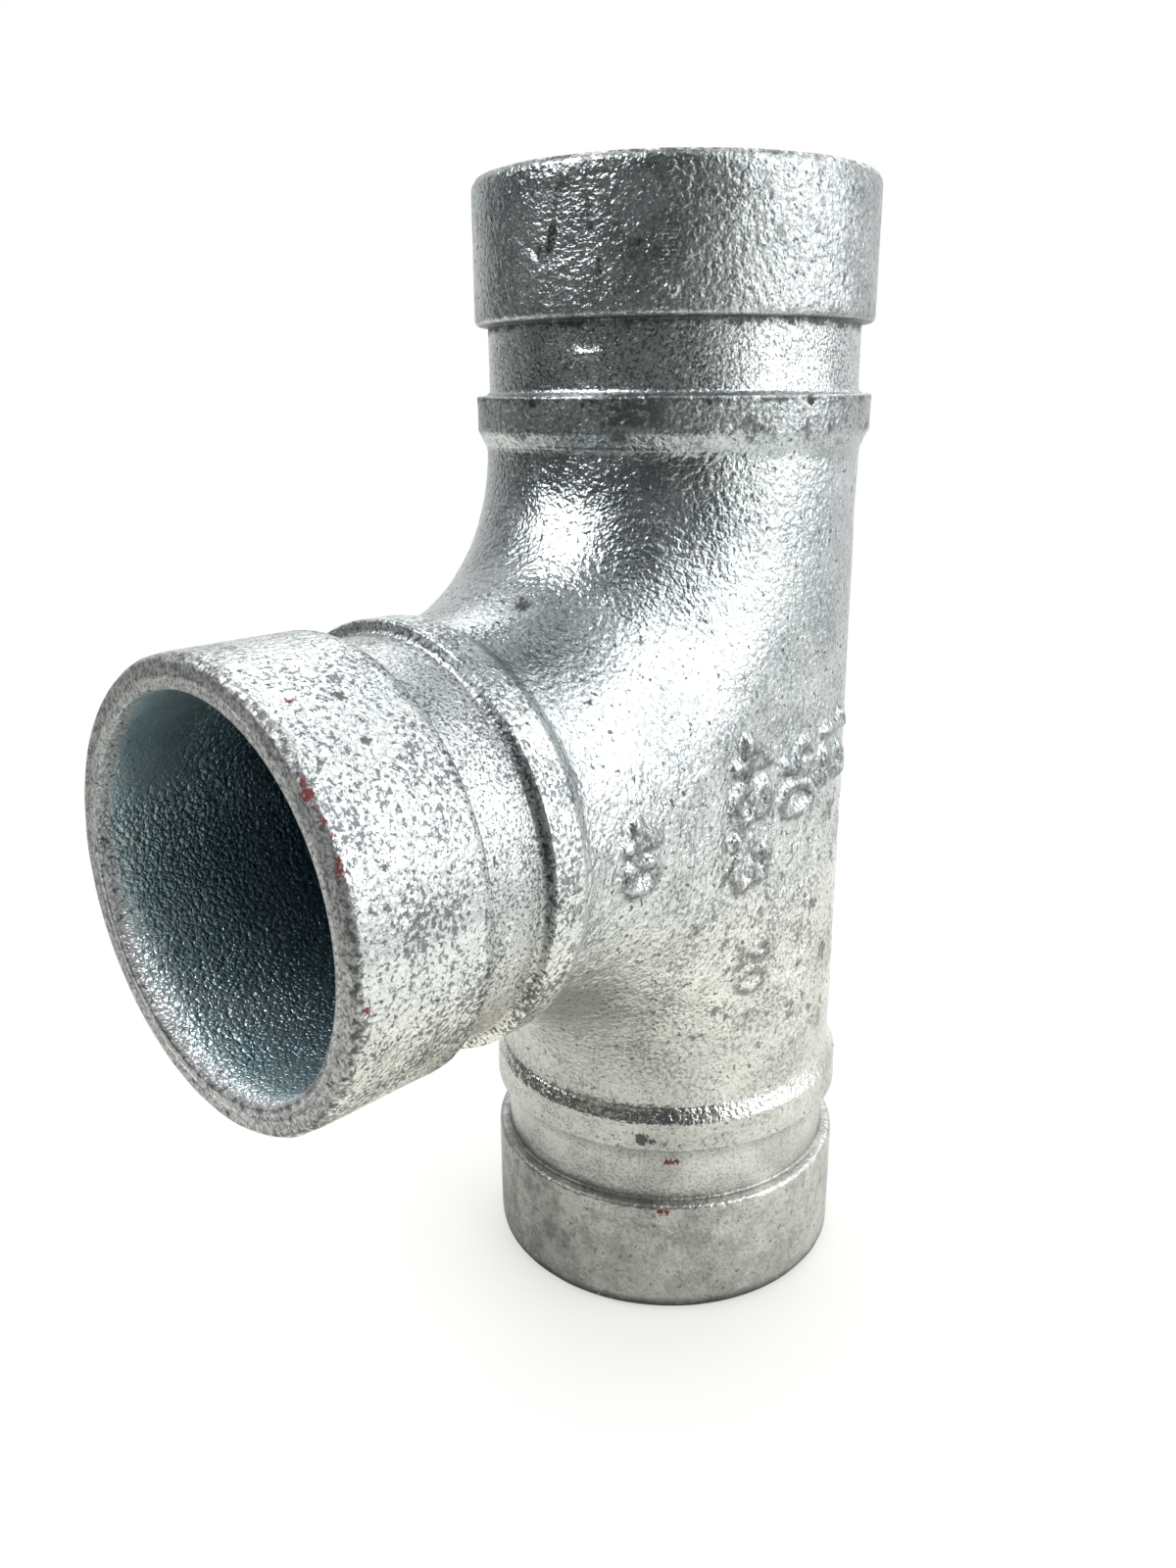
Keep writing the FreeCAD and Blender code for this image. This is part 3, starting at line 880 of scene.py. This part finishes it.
def dirt_and_shade(g, p, scratch):
    """How much each place is darkened, from 0 to 1, by pits, dirt, stains and scratches and by painted
    shade.
    """
    low = g.zone("low")
    groove = g.zone("groove")
    pit_level = g.minus(0.73, g.times(p.region, 0.17))
    pit = g.step(p.pit_seed, pit_level, g.plus(pit_level, 0.03))
    pit = g.times(pit, g.minus(1.0, g.times(groove, 0.8)))
    pit = g.times(pit, g.minus(1.0, g.times(low, 0.35)))
    # Dark pitted edges of the end faces, and painted contact shadow along the foot's bottom rim.
    pitted_edge_and_shade = g.step(g.plus(p.pit_seed, g.times(low, 0.2)), 0.42, 0.6)
    pitted_edge_and_shade = g.math("MINIMUM", g.times(g.zone("bevel"), pitted_edge_and_shade), 1.0)
    # The numbers' darker side: partly dull grey, partly painted shade.
    stroke_dull_and_shade = g.times(g.zone("dull_and_shaded_stroke"), g.step(p.pit_seed, 0.3, 0.55))
    blotch = g.step(g.plus(p.pit_seed, g.times(p.patch, 0.6)), 0.61, 0.77)
    # Painted shadow: a ragged dark band in the run's upper groove just under the seat's edge. Below_edge is
    # a ragged darker band on the run's upper collar next to its groove.
    uneven = g.plus(p.level, g.plus(g.times(p.patch, 3.0), g.times(p.pit_seed, 2.2)))
    below_seat = g.times(g.step(uneven, 55.6, 56.2), groove)
    below_edge = g.times(g.step(uneven, 47.6, 48.4), g.zone("belt"))
    dark = scratch
    for layer, strength in (
            (pit, 0.8),
            # Painted shade in the groove roots and under the edges, with some grime.
            (g.zone("shade_and_grime"), g.blend(p.fleck, 1.0, 0.6)),
            (stroke_dull_and_shade, 0.62),
            (g.times(blotch, g.zone("stain")), 0.9),
            (g.step(p.patch, 0.57, 0.66), g.zone("soiled")),
            (pitted_edge_and_shade, 0.85),
            (specks(g, p.mm, p.ragged, SPOTS), 0.85),
            (g.most(below_seat, below_edge), 0.85)):
        dark = g.most(dark, g.times(layer, strength))
    return dark


def roughness(g, p, dirty):
    """Glossy zinc, duller where it is flecked, ground, worn or dirty."""
    rough = g.blend(g.step(p.cloud, 0.3, 0.7), 0.20, 0.28)
    rough = g.blend(g.zone("matt"), rough, g.blend(p.bright, 0.45, 0.32))
    for name, value in (("slope", 0.22), ("face", 0.5), ("bored", 0.17), ("lip", 0.45)):
        rough = g.blend(g.zone(name), rough, value)
    return g.blend(dirty, rough, 0.6)


def skin_height(g, p):
    """Pebbles of the cast skin or beads in the bores, then fine grain and the chipped patch."""
    bored = g.zone("bored")
    beads = g.zone("beads")
    chips = g.zone("chips")
    peel = g.noise(p.mm, 0.7, 1.0, 0.55, 5.0)
    sway = g.add("VectorMath", {0: (1.1, -0.9, 1.0), "Scale": peel}, operation="SCALE")
    warp = g.add("VectorMath", {0: p.mm, 1: sway}, operation="ADD")
    pebble = g.add("TexVoronoi", {"Vector": warp, "Scale": g.blend(bored, 1.25, 1.75)}, feature="F1")
    height = g.times(g.times(pebble, pebble), g.blend(bored, -0.05, g.times(beads, -0.3)))
    swell = g.blend(g.zone("groove"), g.blend(g.zone("coarse"), 0.18, 0.3), 0.06)
    swell = g.blend(bored, swell, g.blend(beads, 0.04, 0.2))
    height = g.plus(height, g.times(peel, swell))
    height = g.minus(height, g.times(g.zone("flare"), 1.9))
    height = g.plus(height, g.times(g.noise(p.mm, 0.3, 1.0, 0.6, 91.0), 0.06))
    flat = g.add("VectorMath", {0: p.mm, 1: (1.0, 1.0, 2.0)}, operation="MULTIPLY")
    chipped = g.step(g.noise(flat, 0.8, 1.0, 0.6, 17.0), 0.49, 0.64)
    height = g.plus(height, g.times(chipped, g.times(chips, g.blend(g.zone("mark"), 0.04, 0.0))))
    calm = g.plus(g.times(g.zone("bend"), 0.22), g.times(chips, 0.3))
    return g.times(height, g.minus(g.blend(g.zone("face"), 1.0, 0.3), calm))


def make_finish():
    """Glossy zinc over a rough casting: pebbled skin, flecks, pits, ground ends and a cooler bore."""
    material = bpy.data.materials.new("galvanised_iron")
    material.use_nodes = True
    tree = material.node_tree
    sockets = tree.nodes["Principled BSDF"].inputs
    g = Graph(tree)
    p = shared_patterns(g)
    rust = specks(g, p.mm, p.ragged, RUST)
    scratch = g.times(g.zone("mark"), g.blend(g.step(p.grain, 0.42, 0.58), 1.0, 0.5))
    dark = dirt_and_shade(g, p, scratch)
    ground = g.colour(g.step(p.grain, 0.38, 0.60), GROUND_DARK, GROUND_LIGHT)
    colour = g.colour(g.zone("bored"), outside_colour(g, p), bore_colour(g, p))
    colour = g.colour(g.zone("face"), colour, ground)
    colour = g.colour(g.times(g.zone("lip"), 0.85), colour, ground)
    # Dirt and painted shade both darken towards the same near black.
    colour = g.colour(dark, colour, DARK_DIRT_AND_SHADE)
    colour = g.colour(g.times(scratch, 0.7), colour, SCRATCH)
    g.feed(sockets["Base Color"], g.colour(rust, colour, RUST_RED))
    g.feed(sockets["Roughness"], roughness(g, p, g.most(dark, rust)))
    metal = g.blend(g.zone("bored"), 1.0, g.blend(g.zone("deep"), 0.45, 0.85))
    g.feed(sockets["Metallic"], g.times(metal, g.minus(1.0, rust)))
    bump = g.add("Bump", {"Height": skin_height(g, p), "Strength": 1.0, "Distance": MM})
    g.feed(sockets["Normal"], bump)
    return material


def make_tee():
    """The one piece: skin and finish, which replace the CAD body."""
    mesh = joined_mesh("tee_casting", arm_outline())
    shape_skin(mesh)
    mesh.transform(Matrix.Scale(MM, 4))
    for polygon in mesh.polygons:
        polygon.use_smooth = True
    tee = bpy.data.objects.new("tee_casting", mesh)
    bpy.context.scene.collection.objects.link(tee)
    mesh.materials.append(make_finish())
    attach(tee, "root")
    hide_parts("tee_body")


# Floor and room: half the floor's width in metres, and colours.
FLOOR_HALF = 3.0
WHITE = (1, 1, 1, 1)
FLOOR_PALE = (0.89, 0.885, 0.835, 1)
FLOOR_UNLIT = (0.0, 0.0, 0.0, 1)
ROOM_DIM = (0.085, 0.095, 0.10, 1)
ROOM_PALE = (0.97, 1.0, 1.0, 1)


def make_floor():
    """A white floor. It keeps the tee's shadow close to the foot and fades to the backdrop's white."""
    mesh = bpy.data.meshes.new("floor")
    z = -REACH * MM
    corners = [(x * FLOOR_HALF, y * FLOOR_HALF, z) for x, y in ((-1, -1), (1, -1), (1, 1), (-1, 1))]
    mesh.from_pydata(corners, [], [(0, 1, 2, 3)])
    floor = bpy.data.objects.new("floor", mesh)
    bpy.context.scene.collection.objects.link(floor)
    material = bpy.data.materials.new("pale_floor")
    material.use_nodes = True
    tree = material.node_tree
    bsdf = tree.nodes["Principled BSDF"]
    bsdf.inputs["Roughness"].default_value = 0.9
    bsdf.inputs["Specular IOR Level"].default_value = 0.1
    g = Graph(tree)
    place = g.add("TexCoord", output=3)
    flat = g.add("VectorMath", {0: place, 1: (0.0, 0.0, REACH * MM)}, operation="ADD")
    distance = g.add("VectorMath", {0: flat}, output=1, operation="LENGTH")
    path = tree.nodes.new("ShaderNodeLightPath").outputs
    near = g.blend(g.step(distance, 0.024, 0.05), 0.5, 0.9)
    shown = g.times(path["Is Camera Ray"], g.blend(g.step(distance, 0.06, 0.2), near, 1.0))
    outward = g.add("VectorMath", {0: flat}, operation="NORMALIZE")
    toward = g.add("VectorMath", {0: outward, 1: PALE_SIDE}, output=1, operation="DOT_PRODUCT")
    behind = g.times(g.step(toward, 0.1, 0.6), g.step(distance, 0.12, 0.42))
    unlit = g.times(g.step(toward, 0.0, -0.85), g.blend(g.step(distance, 0.1, 0.32), 0.2, 0.85))
    unlit = g.times(unlit, g.minus(1.0, path["Is Camera Ray"]))
    g.feed(bsdf.inputs["Base Color"], g.colour(unlit, FLOOR_PALE, FLOOR_UNLIT))
    mirrored = g.most(path["Is Glossy Ray"], path["Is Transmission Ray"])
    mirrored = g.times(mirrored, behind)
    white = g.add("Emission", {"Color": WHITE, "Strength": 1.0})
    mixed = g.add("MixShader", {0: g.most(shown, mirrored), 1: bsdf.outputs[0], 2: white})
    g.feed(tree.nodes["Material Output"].inputs["Surface"], mixed)
    mesh.materials.append(material)


# Lamps: name, azimuth and elevation in degrees, width, height and radiance.
LAMP_DISTANCE = 0.8
LAMPS = (
    ("key_right", 22, 27, 0.85, 0.85, 2.2),
    ("key_edge", -12, 48, 0.1, 0.5, 3.0),
    ("side_right", 110, 50, 0.9, 0.5, 2.1),
    ("upper_left", -117, 45, 0.55, 0.48, 5.6),
)


def make_lamp(name, azimuth, elevation, width, height, radiance):
    """A soft rectangular lamp that faces the tee."""
    data = bpy.data.lights.new(name, "AREA")
    data.shape = "RECTANGLE"
    data.size = width
    data.size_y = height
    data.energy = radiance * math.pi * width * height
    lamp = bpy.data.objects.new(name, data)
    a, e = math.radians(azimuth), math.radians(elevation)
    spot = Vector((math.cos(a) * math.cos(e), math.sin(a) * math.cos(e), math.sin(e))) * LAMP_DISTANCE
    lamp.location = spot
    lamp.rotation_euler = spot.to_track_quat("Z", "Y").to_euler()
    bpy.context.scene.collection.objects.link(lamp)


def make_world():
    """A white backdrop, and a dimmer room on the viewer's side that the zinc reflects."""
    world = bpy.data.worlds.new("studio")
    bpy.context.scene.world = world
    world.use_nodes = True
    tree = world.node_tree
    tree.nodes.clear()
    g = Graph(tree)
    direction = g.add("TexCoord", output=0)
    toward = g.add("VectorMath", {0: direction, 1: PALE_SIDE}, output=1, operation="DOT_PRODUCT")
    pale = g.step(toward, -0.5, 0.75)
    height = g.add("SeparateXYZ", {0: direction}, output=2)
    above = g.times(g.step(height, 0.5, 1.0), 0.3)
    room = g.colour(g.most(pale, above), ROOM_DIM, ROOM_PALE)
    path = tree.nodes.new("ShaderNodeLightPath").outputs
    glossy = g.times(path["Is Glossy Ray"], pale)
    seen = g.most(g.most(path["Is Camera Ray"], path["Is Transmission Ray"]), glossy)
    lit = g.add("Background", {"Color": room, "Strength": 1.0})
    white = g.add("Background", {"Color": WHITE, "Strength": 1.0})
    mixed = g.add("MixShader", {0: seen, 1: lit, 2: white})
    output = tree.nodes.new("ShaderNodeOutputWorld")
    g.feed(output.inputs["Surface"], mixed)


# The camera as solved from the photograph: place in millimetres, then yaw, pitch and roll in degrees.
CAMERA_PLACE = (103.39, -126.38, 46.5)
CAMERA_TURN = (133.08, -17.31, -0.46)
FOCAL_PIXELS = 1286.45
FRAME_PIXELS = 1600.0
SENSOR = 36.0


def make_camera():
    """A camera at the photograph's viewing angle."""
    yaw, pitch, roll = (math.radians(v) for v in CAMERA_TURN)
    forward = Vector((math.cos(pitch) * math.cos(yaw), math.cos(pitch) * math.sin(yaw), math.sin(pitch)))
    level = forward.cross(Vector((0, 0, 1))).normalized()
    upright = level.cross(forward)
    right = level * math.cos(roll) + upright * math.sin(roll)
    up = upright * math.cos(roll) - level * math.sin(roll)
    data = bpy.data.cameras.new("camera")
    data.sensor_width = SENSOR
    data.lens = FOCAL_PIXELS / FRAME_PIXELS * SENSOR
    data.clip_start = 0.01
    camera = bpy.data.objects.new("camera", data)
    rotation = Matrix((right, up, -forward)).transposed().to_4x4()
    camera.matrix_world = Matrix.Translation(Vector(CAMERA_PLACE) * MM) @ rotation
    bpy.context.scene.collection.objects.link(camera)
    bpy.context.scene.camera = camera


make_tee()
make_floor()
for lamp in LAMPS:
    make_lamp(*lamp)
make_world()
make_camera()
bpy.context.scene.view_settings.view_transform = "Standard"
